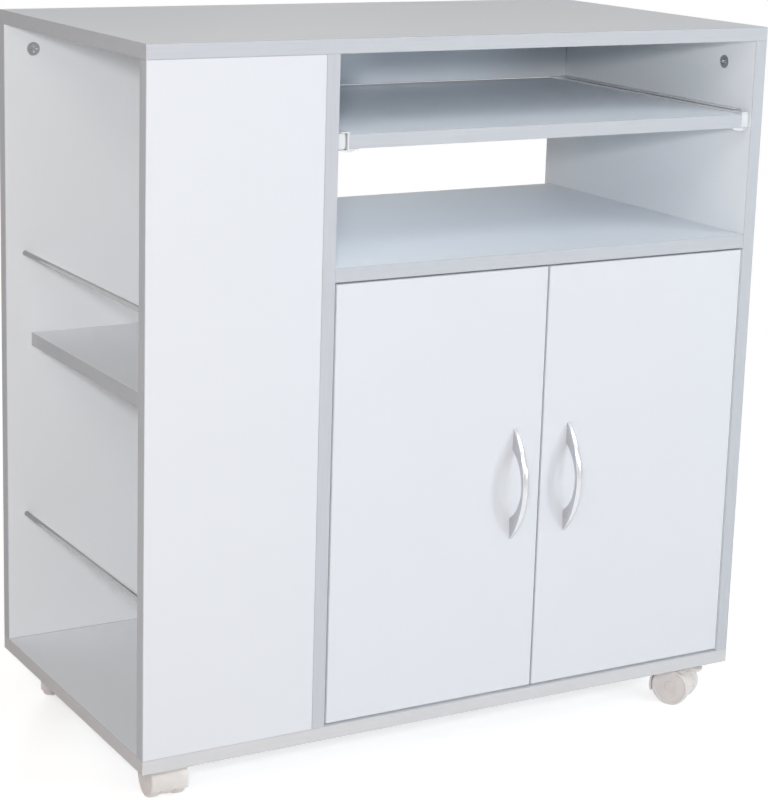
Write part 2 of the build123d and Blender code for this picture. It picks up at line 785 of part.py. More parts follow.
def make_hood(with_brake):
    shell = sector(hood_outer, wheel_outer, hood_start, hood_end) - around_wheel(hood_inner, wheel_outer)
    bridge = sector(hood_inner + hood_wall / 2, web_half, bridge_start, hood_end)
    boss_low = boss_top - boss_height_over_web
    block = slab((-boss_diameter / 2, trail), (-web_half, web_half), (wheel_radius, boss_low))
    boss = bar((0, 0, boss_low), (0, 0, 1), boss_diameter, boss_height_over_web)
    hood = shell + bridge + around_wheel(web_radius, web_half) + block + boss
    if with_brake:
        for y in (lever_half + lever_gap, -trunnion_end):
            hood += bar((lever_x, y, lever_z), (0, 1, 0), lug_diameter, lug_width)
        room = lever_half + lever_gap
        notch = slab((lever_x, lever_x + boss_diameter), (-room, room),
                     (lever_z - lever_barrel, lever_z + lever_barrel))
        barrel_room = bar((lever_x, -room, lever_z), (0, 1, 0), lever_barrel + 2 * lever_swing_gap, 2 * room)
        hood -= (notch + barrel_room) - around_wheel(web_radius, web_half)
        hood -= bar((lever_x, -trunnion_end, lever_z), (0, 1, 0), trunnion_diameter + 2 * fit_gap,
                    2 * trunnion_end)
    hood -= bar((0, 0, plate_low - kingpin_length - kingpin_end_gap), (0, 0, 1),
                kingpin_diameter + 2 * fit_gap, 2 * kingpin_length)
    hood -= around_wheel(axle_diameter / 2 + fit_gap, web_half)
    return hood


def make_wheel():
    """The right-hand wheel of the pair, its dished outer face towards +y."""
    tyre = bar((trail, wheel_inner, wheel_radius), (0, 1, 0), wheel_diameter, wheel_width)
    tyre = fillet(tyre.edges().filter_by(GeomType.CIRCLE), wheel_round)
    dish = bar((trail, wheel_outer - wheel_dish, wheel_radius), (0, 1, 0),
               wheel_diameter - 2 * wheel_rim, wheel_dish)
    hub_cap = bar((trail, wheel_outer - wheel_dish, wheel_radius), (0, 1, 0), cap_diameter, wheel_dish)
    bore = bar((trail, wheel_inner, wheel_radius), (0, 1, 0), axle_diameter + 2 * fit_gap,
               wheel_width - axle_end_gap)
    return tyre - (dish - hub_cap) - bore


def make_lever():
    barrel = bar((lever_x, -lever_half, lever_z), (0, 1, 0), lever_barrel, 2 * lever_half)
    pins = bar((lever_x, -trunnion_end, lever_z), (0, 1, 0), trunnion_diameter, 2 * trunnion_end)
    tab = slab((lever_x, lever_x + lever_reach), (-lever_half, lever_half),
               (lever_z - lever_tab / 2, lever_z + lever_tab / 2))
    tab = fillet(tab.edges().filter_by(Axis.Z).group_by(Axis.X)[-1], lever_tab_round)
    return barrel + pins + tab


half_plate = caster_plate / 2
caster_top = slab((-half_plate, half_plate), (-half_plate, half_plate), (plate_low, base))
caster_top = fillet(caster_top.edges().filter_by(Axis.Z), caster_plate_round)
caster_top -= bar((0, 0, plate_low), (0, 0, 1), kingpin_diameter, caster_plate_metal)
kingpin = bar((0, 0, base), (0, 0, -1), kingpin_diameter, caster_plate_metal + kingpin_length)
caster_corners = [(x, y) for x in (-caster_screw_spacing / 2, caster_screw_spacing / 2)
                  for y in (-caster_screw_spacing / 2, caster_screw_spacing / 2)]
for x, y in caster_corners:
    caster_top -= bar((x, y, plate_low), (0, 0, 1), caster_screw_diameter + 2 * fit_gap, caster_plate_metal)

caster_places = {
    "front_left": (caster_inset, caster_inset),
    "front_right": (width - caster_inset, caster_inset),
    "rear_left": (caster_inset, depth - caster_inset),
    "rear_right": (width - caster_inset, depth - caster_inset),
}
wheel = make_wheel()
wheel_pair = [wheel, mirror(wheel, about=Plane.XZ)]
axle_half = wheel_outer - axle_end_gap
axle = bar((trail, -axle_half, wheel_radius), (0, 1, 0), axle_diameter, 2 * axle_half)
lever = make_lever()
hoods = {True: make_hood(True), False: make_hood(False)}
caster_plates = []
caster_screws = []
for name, (x, y) in caster_places.items():
    fixed = Pos(x, y, 0)
    turned = fixed * Rot(0, 0, caster_yaws[name])
    keep(name + "_caster_hood", [turned * hoods[name in braked]])
    keep(name + "_axle", [turned * axle])
    keep(name + "_wheels", [turned * solid for solid in wheel_pair])
    if name in braked:
        keep(name + "_brake_lever", [turned * lever])
    caster_plates += [fixed * caster_top, fixed * kingpin]
    for dx, dy in caster_corners:
        start = (x + dx, y + dy, plate_low)
        caster_screws.append(pan_screw(start, (0, 0, 1), caster_screw_diameter, caster_screw_head,
                                       caster_screw_head_height, caster_screw_length))
        hole_start = (x + dx, y + dy, base)
        cuts["bottom_board"].append(bar(hole_start, (0, 0, 1), caster_screw_diameter + 2 * fit_gap,
                                        caster_screw_length - caster_plate_metal + fit_gap))
keep("caster_plates", caster_plates)
keep("caster_screws", caster_screws)

# The case's boards are cut last, when every hole in them is known

for name, spans in boards.items():
    keep(name, [panel(*spans) - cuts[name]])
keep("cam_locks", cams)
keep("cam_bolts", bolts)
keep("dowels", dowels)
keep("assembly_screws", screws)

# Centre the part: x over the width, y over the depth with its handles, z on the floor

home = Pos(-width / 2, (handle_projection - depth) / 2, 0)
os.makedirs("parts", exist_ok=True)
for name, pieces in nodes.items():
    solids = [solid for piece in pieces for solid in (home * piece).solids()]
    shape = solids[0] if len(solids) == 1 else Compound(children=solids)
    export_step(shape, f"parts/{name}.step")
print(len(nodes), "nodes")
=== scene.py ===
# %% [markdown]
# A low kitchen storage cabinet on four casters, dressed for rendering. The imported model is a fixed
# frame: its boards, slides, hinges and casters already stand where they belong, in metres, with z up.
# This lesson gives every piece its finish, swaps the handles and the wheels for meshes with finer
# forms, and adds two small end stops.

# %% Load the fixed frame
import json
from math import copysign, cos, pi, radians, sin, sqrt

import bmesh
import bpy
from mathutils import Matrix, Vector


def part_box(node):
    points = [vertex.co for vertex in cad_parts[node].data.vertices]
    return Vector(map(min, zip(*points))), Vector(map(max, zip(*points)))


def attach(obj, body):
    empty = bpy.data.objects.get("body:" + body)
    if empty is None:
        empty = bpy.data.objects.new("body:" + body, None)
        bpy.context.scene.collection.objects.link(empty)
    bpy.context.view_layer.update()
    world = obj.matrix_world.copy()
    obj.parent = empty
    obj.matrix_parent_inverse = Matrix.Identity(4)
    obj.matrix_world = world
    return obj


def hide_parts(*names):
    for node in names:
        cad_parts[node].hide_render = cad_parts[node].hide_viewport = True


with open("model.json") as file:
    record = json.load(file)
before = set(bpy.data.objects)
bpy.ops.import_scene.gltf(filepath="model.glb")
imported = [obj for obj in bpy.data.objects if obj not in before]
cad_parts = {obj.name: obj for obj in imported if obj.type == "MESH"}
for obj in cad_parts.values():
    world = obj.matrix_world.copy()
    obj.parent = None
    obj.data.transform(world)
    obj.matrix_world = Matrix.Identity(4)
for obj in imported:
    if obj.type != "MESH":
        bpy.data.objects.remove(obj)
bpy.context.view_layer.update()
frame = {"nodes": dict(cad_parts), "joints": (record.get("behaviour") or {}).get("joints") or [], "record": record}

nodes = frame["nodes"]
joints = {joint["name"]: joint for joint in frame["joints"]}
body_of = {name: body for body, names in frame["record"]["behaviour"]["bodies"].items() for name in names}
mm = 0.001
print("nodes in the frame:", len(nodes))

# %% [markdown]
# The photograph was taken from the front left and a little above, with a long lens. The camera is
# placed by its own position and by three angles, as on a tripod. The picture is a crop, so the lens
# axis doesn't meet its middle. A small shift of the lens holds that framing, which a turn wouldn't.
# The picture is taller than it is wide, and Blender counts lens and shift by the longer side.

# %% Camera
picture_width = 768
picture_height = 798
focal_pixels = 2208.0
axis_pixel = (332.0, 325.0)
camera_place = (-1.2277, -2.1101, 1.0053)
camera_azimuth = 28.886
camera_drop = 12.729
camera_roll = 1.41

scene = bpy.context.scene
camera_data = bpy.data.cameras.new("camera")
camera = bpy.data.objects.new("camera", camera_data)
scene.collection.objects.link(camera)
scene.camera = camera
camera_data.lens = focal_pixels * camera_data.sensor_width / picture_height
camera_data.shift_x = (picture_width / 2 - axis_pixel[0]) / picture_height
camera_data.shift_y = (axis_pixel[1] - picture_height / 2) / picture_height
turned = Matrix.Rotation(radians(-camera_azimuth), 4, "Z")
tilted = Matrix.Rotation(radians(90 - camera_drop), 4, "X")
rolled = Matrix.Rotation(radians(camera_roll), 4, "Z")
camera.matrix_world = Matrix.Translation(camera_place) @ turned @ tilted @ rolled
print("lens:", round(camera_data.lens, 1), "mm")

# %% [markdown]
# A shader is a small graph of nodes. Written out one by one, nodes and links take many lines that say
# little. Two helpers keep the graphs short to read: one feeds an input with a plain value or with
# another node's output, and one adds a node and feeds its inputs.

# %% Helpers for nodes
def feed(tree, socket, value):
    """Give an input a plain value, or link another node's output to it."""
    if isinstance(value, bpy.types.NodeSocket):
        tree.links.new(value, socket)
    else:
        socket.default_value = value


def add(tree, kind, feeds, **settings):
    """Add a node, set its options and feed its inputs by their names or numbers."""
    node = tree.nodes.new("ShaderNode" + kind)
    for name, value in settings.items():
        setattr(node, name, value)
    for name, value in feeds.items():
        feed(tree, node.inputs[name], value)
    return node


# %% [markdown]
# Most of a finish is arithmetic on places and on clouds of noise. These helpers do it for numbers, for
# vectors and for colours. A Mix node keeps its colours at the inputs 6 and 7 and at the output 2.

# %% Helpers for sums and colours
def sums(tree, operation, *values):
    """A sum or a comparison of numbers."""
    return add(tree, "Math", dict(enumerate(values)), operation=operation).outputs[0]


def vectors(tree, operation, *values):
    """The same for vectors."""
    return add(tree, "VectorMath", dict(enumerate(values)), operation=operation).outputs[0]


def blend(tree, share, first, second):
    """A colour between two, by a share from 0 to 1."""
    feeds = {0: share}
    for number, tone in ((6, first), (7, second)):
        feeds[number] = tone if isinstance(tone, bpy.types.NodeSocket) else (*tone, 1.0)
    return add(tree, "Mix", feeds, data_type="RGBA").outputs[2]


def spread(tree, value, low, high):
    """Stretch a value from 0 to 1 over another span."""
    return add(tree, "MapRange", {"Value": value, "To Min": low, "To Max": high}).outputs[0]


def shaded(colour, factor):
    """A plain colour made darker or lighter."""
    return [min(1.0, factor * part) for part in colour]


# %% [markdown]
# Each finish starts alike: with a main shader, and with a point's place on the piece, in metres. Noise
# at that place gives clouds and grain of a real size, and a relief lets them raise the surface.

# %% Helpers for finishes
def noise(tree, place, scale, detail=2.0):
    """Soft random clouds, that many to the metre."""
    return add(tree, "TexNoise", {"Vector": place, "Scale": scale, "Detail": detail}).outputs[0]


def start_material(name, **plain):
    """A material with its main shader and the place on the piece, in metres."""
    material = bpy.data.materials.new(name)
    material.use_nodes = True
    tree = material.node_tree
    shader = tree.nodes["Principled BSDF"]
    for socket, value in plain.items():
        shader.inputs[socket.replace("_", " ")].default_value = value
    place = tree.nodes.new("ShaderNodeTexCoord").outputs["Object"]
    return material, tree, shader, place


def relief(tree, shader, height, depth, strength=1.0):
    """Let a height from 0 to 1 raise the surface by up to a depth in metres."""
    bump = add(tree, "Bump", {"Height": height, "Distance": depth, "Strength": strength})
    tree.links.new(bump.outputs[0], shader.inputs["Normal"])


def dress(name, material):
    """Put a finish on a piece of the frame."""
    mesh = nodes[name].data
    mesh.materials.clear()
    mesh.materials.append(material)


# %% [markdown]
# The boards are particle board. Their faces carry a white melamine skin, hard and satin, with a very
# fine grain. Their sawn edges are closed with a glued band, half a millimetre thick and a little
# greyer. The band could be a piece of its own, but it would only be a skin on the board. So the shader
# works out how far a point lies in from the board's edges: the first half millimetre is band, a thin
# glue line follows, and the rest of the face is melamine. Deeper in, as inside a drilled hole, the raw
# chips show.

# %% Melamine board with banded edges
band_thickness = 0.5 * mm
glue_line = 0.15 * mm
skin_depth = 0.8 * mm
board_relief = 0.08 * mm
board_specular = 0.06
cloud_scale = 9.0
cloud_share = 0.35
grain_scale = 1300.0
grain_detail = 3.0
chip_scale = 420.0
chip_detail = 4.0
streak_scale_along = 12.0
streak_scale_across = 700.0
streak_detail = 3.0
chip_brown = (0.42, 0.29, 0.17)
chip_pale = (0.62, 0.47, 0.30)
cloud_shade = 0.975
glue_shade = 0.8
streak_shades = (0.93, 1.06)
satin_roughness = (0.42, 0.56)
raw_roughness = 0.5
grain_height = 0.25


def inset_from_sides(tree, place, low, high):
    """How far a point lies in from a box's sides, along each axis."""
    from_middle = vectors(tree, "ABSOLUTE", vectors(tree, "SUBTRACT", place, (low + high) / 2))
    return add(tree, "SeparateXYZ", {0: vectors(tree, "SUBTRACT", (high - low) / 2, from_middle)}).outputs


def board_finish(name, face, band):
    """The finish of one board, laid out from its own box."""
    low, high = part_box(name)
    sizes = high - low
    thin = min(range(3), key=lambda axis: sizes[axis])
    long = max(range(3), key=lambda axis: sizes[axis])
    material, tree, shader, place = start_material(name + "_melamine", Specular_IOR_Level=board_specular)
    inset = inset_from_sides(tree, place, low, high)
    edge_inset = sums(tree, "MINIMUM", *[inset[axis] for axis in range(3) if axis != thin])
    on_band = sums(tree, "LESS_THAN", edge_inset, band_thickness)
    on_glue = sums(tree, "LESS_THAN", edge_inset, band_thickness + glue_line)
    inside = sums(tree, "GREATER_THAN", sums(tree, "MINIMUM", edge_inset, inset[thin]), skin_depth)
    clouds = spread(tree, noise(tree, place, cloud_scale), 0.0, cloud_share)
    grain = noise(tree, place, grain_scale, grain_detail)
    chips = noise(tree, place, chip_scale, chip_detail)
    stretch = [streak_scale_across] * 3
    stretch[long] = streak_scale_along
    streaks = noise(tree, vectors(tree, "MULTIPLY", place, stretch), 1.0, streak_detail)
    face_tone = blend(tree, clouds, face, shaded(face, cloud_shade))
    band_tone = blend(tree, streaks, *[shaded(band, shade) for shade in streak_shades])
    tone = blend(tree, on_glue, face_tone, shaded(band, glue_shade))
    tone = blend(tree, on_band, tone, band_tone)
    tone = blend(tree, inside, tone, blend(tree, chips, chip_brown, chip_pale))
    tree.links.new(tone, shader.inputs["Base Color"])
    rougher_inside = sums(tree, "MULTIPLY", inside, raw_roughness)
    roughness = sums(tree, "ADD", spread(tree, grain, *satin_roughness), rougher_inside)
    tree.links.new(roughness, shader.inputs["Roughness"])
    fine_height = sums(tree, "MULTIPLY", grain, grain_height)
    height = sums(tree, "ADD", fine_height, sums(tree, "MULTIPLY", inside, chips))
    relief(tree, shader, height, board_relief)
    return material


# %% [markdown]
# All boards are the same white melamine, but their tones carry painted light and shade. The fronts are
# painted darker, because the lamps light them most. The bay's boards are painted lighter and bluer, as
# painted light in their cool shade, and the right side panel is painted a little bluer for the same
# cool shade. The bottom board's band is painted paler, as painted light from the floor below. The doors'
# bands are as white as their faces. Each board gets a finish of its own, because the finish is laid out
# from its box.

# %% Dress the boards
melamine = (0.885, 0.908, 0.935)
# Painted light: the bay's melamine is painted lighter and bluer, for the cool light in the bay's shade.
bay_melamine_painted_light = (0.885, 0.925, 0.975)
# Painted shade: the right side panel's melamine is painted a little bluer, for the cool shade in the bay.
side_melamine_painted_cool_shade = (0.880, 0.916, 0.952)
# Painted shade: the fronts' melamine is painted darker because the lamps light the fronts most.
front_melamine_painted_shade = (0.730, 0.738, 0.770)
band_grey = (0.545, 0.558, 0.592)
# Painted light: the bottom board's band is painted paler, for light bounced up from the floor.
bottom_band_painted_light = (0.640, 0.630, 0.640)
board_tones = {
    "top_board": (melamine, band_grey),
    "bottom_board": (melamine, bottom_band_painted_light),
    "right_side_panel": (side_melamine_painted_cool_shade, band_grey),
    "divider_panel": (melamine, band_grey),
    "left_front_panel": (front_melamine_painted_shade, band_grey),
    "left_rear_panel": (melamine, band_grey),
    "niche_floor": (bay_melamine_painted_light, band_grey),
    "back_rail": (bay_melamine_painted_light, band_grey),
    "left_shelf": (melamine, band_grey),
    "cupboard_shelf": (melamine, band_grey),
    "pull_out_shelf": (bay_melamine_painted_light, band_grey),
    "left_door": (front_melamine_painted_shade, front_melamine_painted_shade),
    "right_door": (front_melamine_painted_shade, front_melamine_painted_shade)}
for name, (face, band) in board_tones.items():
    dress(name, board_finish(name, face, band))
print("boards dressed:", len(board_tones))

# %% [markdown]
# The cupboard's back is a thin hardboard sheet in a groove. Such a sheet is lacquered white on the side
# that shows and raw brown fibre behind. One shader holds both, told apart by the side of the sheet that
# a point lies on.

# %% Hardboard back
hardboard_white = (0.80, 0.81, 0.82)
fibre_brown = (0.30, 0.19, 0.11)
fibre_light = (0.40, 0.27, 0.16)
fibre_scales = (500.0, 500.0, 160.0)
fibre_detail = 5.0
fibre_relief = 0.12 * mm
fibre_strength = 0.6
lacquer_thickness = 0.2 * mm
raw_hardboard_roughness = 0.85
lacquer_roughness = 0.45

material, tree, shader, place = start_material("lacquered_hardboard")
low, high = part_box("cupboard_back_panel")
behind = add(tree, "SeparateXYZ", {0: place}).outputs[1]
lacquered = sums(tree, "LESS_THAN", behind, low.y + lacquer_thickness)
fibres = noise(tree, vectors(tree, "MULTIPLY", place, fibre_scales), 1.0, fibre_detail)
tone = blend(tree, lacquered, blend(tree, fibres, fibre_brown, fibre_light), hardboard_white)
roughness = spread(tree, lacquered, raw_hardboard_roughness, lacquer_roughness)
tree.links.new(tone, shader.inputs["Base Color"])
tree.links.new(roughness, shader.inputs["Roughness"])
relief(tree, shader, fibres, fibre_relief, fibre_strength)
dress("cupboard_back_panel", material)
print("hardboard:", round((high.y - low.y) / mm, 1), "mm thick")

# %% [markdown]
# The dowels are turned beech, with darker and lighter year rings. They hide inside the joints, so a
# plain wave of rings is enough.

# %% Beech dowels
beech_light = (0.78, 0.62, 0.42)
beech_dark = (0.66, 0.48, 0.30)
beech_roughness = 0.6
ring_scale = 260.0
ring_waver = 6.0
ring_detail = 2.0
ring_contrast = (0.2, 0.8)
ring_relief = 0.05 * mm

material, tree, shader, place = start_material("turned_beech", Roughness=beech_roughness)
wave = {"Vector": place, "Scale": ring_scale, "Distortion": ring_waver, "Detail": ring_detail}
rings = add(tree, "TexWave", wave).outputs[0]
tone = blend(tree, spread(tree, rings, *ring_contrast), beech_light, beech_dark)
tree.links.new(tone, shader.inputs["Base Color"])
relief(tree, shader, rings, ring_relief)
dress("dowels", material)
print("dowels dressed in:", material.name)

# %% [markdown]
# The metals differ in colour and in how sharp their reflections are. Chromed rods are almost a mirror, but their
# chrome is painted dark, a painted reflection of a dark room.
# Nickel and zinc plating are duller and cloudy, and zinc has a warm cast. One function makes them all:
# clouds move the colour between two tones, a finer noise moves the roughness, and a faint relief keeps
# the reflections from being perfect.

# %% Metals
metal_grain_scale = 2600.0
metal_cloud_detail = 4.0
metal_contrast = (-0.3, 1.3)


def metal_finish(name, dark, light, roughness, clouds_to_metre, depth):
    """A metal with cloudy colour and a fine grain."""
    material, tree, shader, place = start_material(name, Metallic=1.0)
    clouds = spread(tree, noise(tree, place, clouds_to_metre, metal_cloud_detail), *metal_contrast)
    grain = noise(tree, place, metal_grain_scale)
    tree.links.new(blend(tree, clouds, dark, light), shader.inputs["Base Color"])
    tree.links.new(spread(tree, grain, *roughness), shader.inputs["Roughness"])
    relief(tree, shader, grain, depth)
    return material


# The rods' chrome is painted darker than real chrome: a painted reflection of a dark room.
chrome = metal_finish("chrome_painted_dark", dark=(0.36, 0.36, 0.37), light=(0.42, 0.42, 0.43),
                      roughness=(0.10, 0.18), clouds_to_metre=60.0, depth=0.004 * mm)
satin = metal_finish("satin_chrome", dark=(0.62, 0.62, 0.64), light=(0.70, 0.70, 0.72),
                     roughness=(0.12, 0.20), clouds_to_metre=90.0, depth=0.01 * mm)
nickel = metal_finish("plain_nickel", dark=(0.56, 0.55, 0.54), light=(0.68, 0.67, 0.66),
                      roughness=(0.24, 0.40), clouds_to_metre=300.0, depth=0.02 * mm)
zinc = metal_finish("cloudy_zinc", dark=(0.34, 0.31, 0.28), light=(0.60, 0.57, 0.53),
                    roughness=(0.28, 0.50), clouds_to_metre=700.0, depth=0.06 * mm)
bright_zinc = metal_finish("bright_zinc", dark=(0.50, 0.50, 0.51), light=(0.74, 0.74, 0.75),
                           roughness=(0.34, 0.52), clouds_to_metre=900.0, depth=0.05 * mm)

# %% [markdown]
# The guard rods are chromed and the handles satin. The cam locks are bright new zinc, and the fittings
# that nobody polishes are dull zinc. Screws, axles, hinges and shelf pins are nickel-plated.

# %% Dress the metal pieces
def metal_of(name):
    """The metal of a piece of the frame, or nothing where it isn't metal."""
    if name.endswith("guard_rod"):
        return chrome
    if name in ("left_handle", "right_handle"):
        return satin
    if name == "cam_locks":
        return bright_zinc
    if name in ("cam_bolts", "assembly_screws", "caster_plates"):
        return zinc
    if name.endswith("screws") or name.endswith("axle") or "hinge" in name or name == "shelf_pins":
        return nickel
    return None


metal_pieces = [name for name in nodes if metal_of(name)]
for name in metal_pieces:
    dress(name, metal_of(name))
print("metal pieces dressed:", len(metal_pieces))

# %% [markdown]
# The slides are pressed steel under a white epoxy coat. A baked coat is duller than fresh paint and has
# a slight orange peel. That is a soft noise about a millimetre wide, in the gloss and in the relief.

# %% White epoxy coat
epoxy_cool = (0.71, 0.73, 0.76)
epoxy_plain = (0.76, 0.77, 0.79)
epoxy_roughness = (0.38, 0.50)
epoxy_specular = 0.25
epoxy_cloud_scale = 30.0
peel_scale = 800.0
peel_relief = 0.05 * mm

epoxy, tree, shader, place = start_material("white_epoxy", Specular_IOR_Level=epoxy_specular)
peel = noise(tree, place, peel_scale)
clouds = noise(tree, place, epoxy_cloud_scale)
tree.links.new(blend(tree, clouds, epoxy_cool, epoxy_plain), shader.inputs["Base Color"])
tree.links.new(spread(tree, peel, *epoxy_roughness), shader.inputs["Roughness"])
relief(tree, shader, peel, peel_relief)
slide_pieces = [part + side for part in ("slide_cabinet_", "slide_drawer_") for side in ("left", "right")]
for name in slide_pieces:
    dress(name, epoxy)
print("slide pieces dressed:", len(slide_pieces))

# %% [markdown]
# The casters are moulded plastic, once white and now a warm ivory. Moulded plastic has a fine even
# texture and a soft sheen, and it is a little darker where hands and dust have been. The rollers in
# the slides are plain white nylon.

# %% Moulded plastics
plastic_ior = 1.5
wear_scale = 70.0
wear_detail = 5.0
wear_contrast = (-0.4, 1.2)
texture_scale = 1500.0
plastic_relief = 0.03 * mm


def plastic_finish(name, clean, aged, roughness):
    """A moulded plastic with patches of wear and a fine texture."""
    material, tree, shader, place = start_material(name, IOR=plastic_ior)
    wear = spread(tree, noise(tree, place, wear_scale, wear_detail), *wear_contrast)
    texture = noise(tree, place, texture_scale)
    tree.links.new(blend(tree, wear, clean, aged), shader.inputs["Base Color"])
    tree.links.new(spread(tree, texture, *roughness), shader.inputs["Roughness"])
    relief(tree, shader, texture, plastic_relief)
    return material


ivory = plastic_finish("ivory_plastic", clean=(0.84, 0.80, 0.77), aged=(0.74, 0.68, 0.64),
                       roughness=(0.28, 0.40))
wheel_ivory = plastic_finish("wheel_plastic", clean=(0.80, 0.75, 0.74), aged=(0.71, 0.66, 0.63),
                             roughness=(0.30, 0.42))
nylon = plastic_finish("white_nylon", clean=(0.82, 0.82, 0.80), aged=(0.76, 0.76, 0.73),
                       roughness=(0.35, 0.45))
plastic_words = {"caster_hood": ivory, "brake_lever": ivory, "wheels": wheel_ivory, "_roller_": nylon}
plastic_of = {name: plastic for name in nodes for words, plastic in plastic_words.items() if words in name}
for name, plastic in plastic_of.items():
    dress(name, plastic)
print("plastic pieces dressed:", len(plastic_of))

# %% [markdown]
# The frame's small metal and plastic pieces have sharp machine edges. Real pressed steel and moulded
# plastic have small rounds, which catch a line of light. The rounds could be modelled piece by piece,
# but two modifiers do it without touching the frame's own points: Weld joins the loose borders of the
# faces, and Bevel rounds every edge that is sharper than a limit.

# %% Small rounds on the frame's own pieces
weld_reach = 0.004 * mm
round_segments = 2
sharp_angle = 38.0
round_widths = {"slide_cabinet": 0.3 * mm, "slide_drawer": 0.3 * mm, "caster_hood": 0.35 * mm,
                "brake_lever": 0.4 * mm, "cam_locks": 0.15 * mm}


def soften(name, width):
    """Round the sharp edges of a frame's piece with modifiers."""
    weld = nodes[name].modifiers.new("joined_faces", "WELD")
    weld.merge_threshold = weld_reach
    bevel = nodes[name].modifiers.new("small_rounds", "BEVEL")
    bevel.width = width
    bevel.segments = round_segments
    bevel.limit_method = "ANGLE"
    bevel.angle_limit = radians(sharp_angle)
    bevel.harden_normals = True


softened = {name: width for name in nodes for words, width in round_widths.items() if words in name}
for name, width in softened.items():
    soften(name, width)
print("pieces with small rounds:", len(softened))

# %% [markdown]
# Turned and moulded forms are drawn from a profile. The next helper makes a mesh from rings of points
# that follow each other, closes its two ends, and gives it smooth shading with crisp edges where the
# faces meet at a sharp angle.

# %% A mesh from rings of points
def ring_mesh(name, rings, sharp=32.0):
    """Join closed rings of equal length into one skin and cap both ends."""
    count = len(rings[0])
    points = [point for ring in rings for point in ring]
    faces = [tuple(reversed(range(count))), tuple(range(len(points) - count, len(points)))]
    for row in range(len(rings) - 1):
        for step in range(count):
            after = (step + 1) % count
            start, above = row * count, (row + 1) * count
            faces.append((start + step, start + after, above + after, above + step))
    mesh = bpy.data.meshes.new(name)
    mesh.from_pydata(points, [], faces)
    form = bmesh.new()
    form.from_mesh(mesh)
    bmesh.ops.recalc_face_normals(form, faces=form.faces)
    form.to_mesh(mesh)
    form.free()
    mesh.shade_smooth()
    mesh.set_sharp_from_angle(angle=radians(sharp))
    piece = bpy.data.objects.new(name, mesh)
    scene.collection.objects.link(piece)
    return piece


# %% [markdown]
# The handles are cast bows with pointed feet. From the side the outer line is one flat arc from tip to
# tip, and the hollow for the fingers is a rounder arc under it. Across, the outer face is slightly
# crowned and its edges are well rounded. The bow is cut into thin slices along its height. Each slice
# is a ring: up one flank, over the crowned face, down the other flank, and back under. Near the tips
# the bow is thin, so its rounds and its crown are held to a share of its thickness.

# %% One slice of a bow handle
crown = 0.45 * mm
face_round = 1.3 * mm
inner_round = 0.5 * mm
most_face_round = 0.45
most_inner_round = 0.2
most_crown = 0.2
corner_steps = 5
face_steps = 6


def slice_ring(half_width, near, far):
    """One slice across the bow, as pairs of sideways and outward."""
    tall = far - near
    big = min(face_round, most_face_round * tall)
    small = min(inner_round, most_inner_round * tall)
    quarter = [pi / 2 * step / corner_steps for step in range(corner_steps + 1)]
    side = [(half_width - small + small * sin(turn), near + small - small * cos(turn)) for turn in quarter]
    side += [(half_width - big + big * cos(turn), far - big + big * sin(turn)) for turn in quarter]
    side += [((half_width - big) * (1 - step / face_steps), far) for step in range(1, face_steps)]
    ring = side + [(0.0, far)] + [(-across, out) for across, out in reversed(side)]
    drop = min(crown, most_crown * tall)
    return [(across, out - drop * (across / half_width) ** 2 * (out - near) / tall) for across, out in ring]


# %% [markdown]
# Each bow stands where the frame's own handle stands and is as large. It narrows towards both tips,
# slowly at first and then faster. The last slices stop just short of the tips, where the bow would be
# a line without thickness. The new bow rides on its door and replaces the frame's plainer one.

# %% Bow handles
hollow_half = 39.0 * mm
hollow_rise = 21.0 * mm
tip_taper = 0.5
taper_power = 3
tip_gap = 0.05 * mm
slice_step = 1.5 * mm


def arc_rise(along, half, rise):
    """How far an arc stands off its chord at a place along it."""
    radius = (half * half + rise * rise) / (2 * rise)
    return sqrt(radius * radius - along * along) - (radius - rise) if abs(along) < half else 0.0


def make_handle(side):
    """The bow on one door, in slices from its lower tip to its upper one."""
    low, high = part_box(side + "_handle")
    centre = (low + high) / 2
    half = (high.z - low.z) / 2
    rise = high.y - low.y
    half_width = (high.x - low.x) / 2
    count = round(2 * half / slice_step)
    rings = []
    for step in range(count + 1):
        along = -half + 2 * half * step / count
        along = copysign(min(abs(along), half - tip_gap), along)
        near = arc_rise(along, hollow_half, hollow_rise)
        far = arc_rise(along, half, rise)
        narrowed = half_width * (1 - tip_taper * (abs(along) / half) ** taper_power)
        rings.append([(centre.x + across, high.y - out, centre.z + along)
                      for across, out in slice_ring(narrowed, near, far)])
    handle = ring_mesh(side + "_bow_handle", rings)
    handle.data.materials.append(satin)
    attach(handle, body_of[side + "_handle"])
    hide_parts(side + "_handle")
    print(handle.name, "slices:", count)


for side in ("left", "right"):
    make_handle(side)

# %% [markdown]
# In the photograph a small white block with round corners shows at each end of the pull-out shelf. It
# is drawn as a moulded stop that covers the front edge of the outer channel, so that nobody is cut by
# it. Each stop is a few rounded outlines behind each other. It is fixed to the channel and fills the
# space between the runner's lip above, its nose below and its web beside.

# %% Channel end stops
stop_width = 10.4 * mm
stop_front = 3.5 * mm
stop_depth = 8.8 * mm
stop_round = 3.0 * mm
stop_edge = 1.2 * mm
below_shelf = 0.9 * mm
above_shelf = 0.8 * mm
stop_plastic = plastic_finish("stop_plastic", clean=(0.70, 0.71, 0.71), aged=(0.64, 0.65, 0.65),
                              roughness=(0.38, 0.48))


def stop_outline(left, right, bottom, top, inset):
    """A rounded rectangle seen from the front, as pairs of sideways and up."""
    corners = ((right, top, -1, -1), (left, top, 1, -1), (left, bottom, 1, 1), (right, bottom, -1, 1))
    outline = []
    for quarter, (across, up, inward_across, inward_up) in enumerate(corners):
        for step in range(corner_steps + 1):
            turn = pi / 2 * (quarter + step / corner_steps)
            outline.append((across + inward_across * stop_round + (stop_round - inset) * cos(turn),
                            up + inward_up * stop_round + (stop_round - inset) * sin(turn)))
    return outline


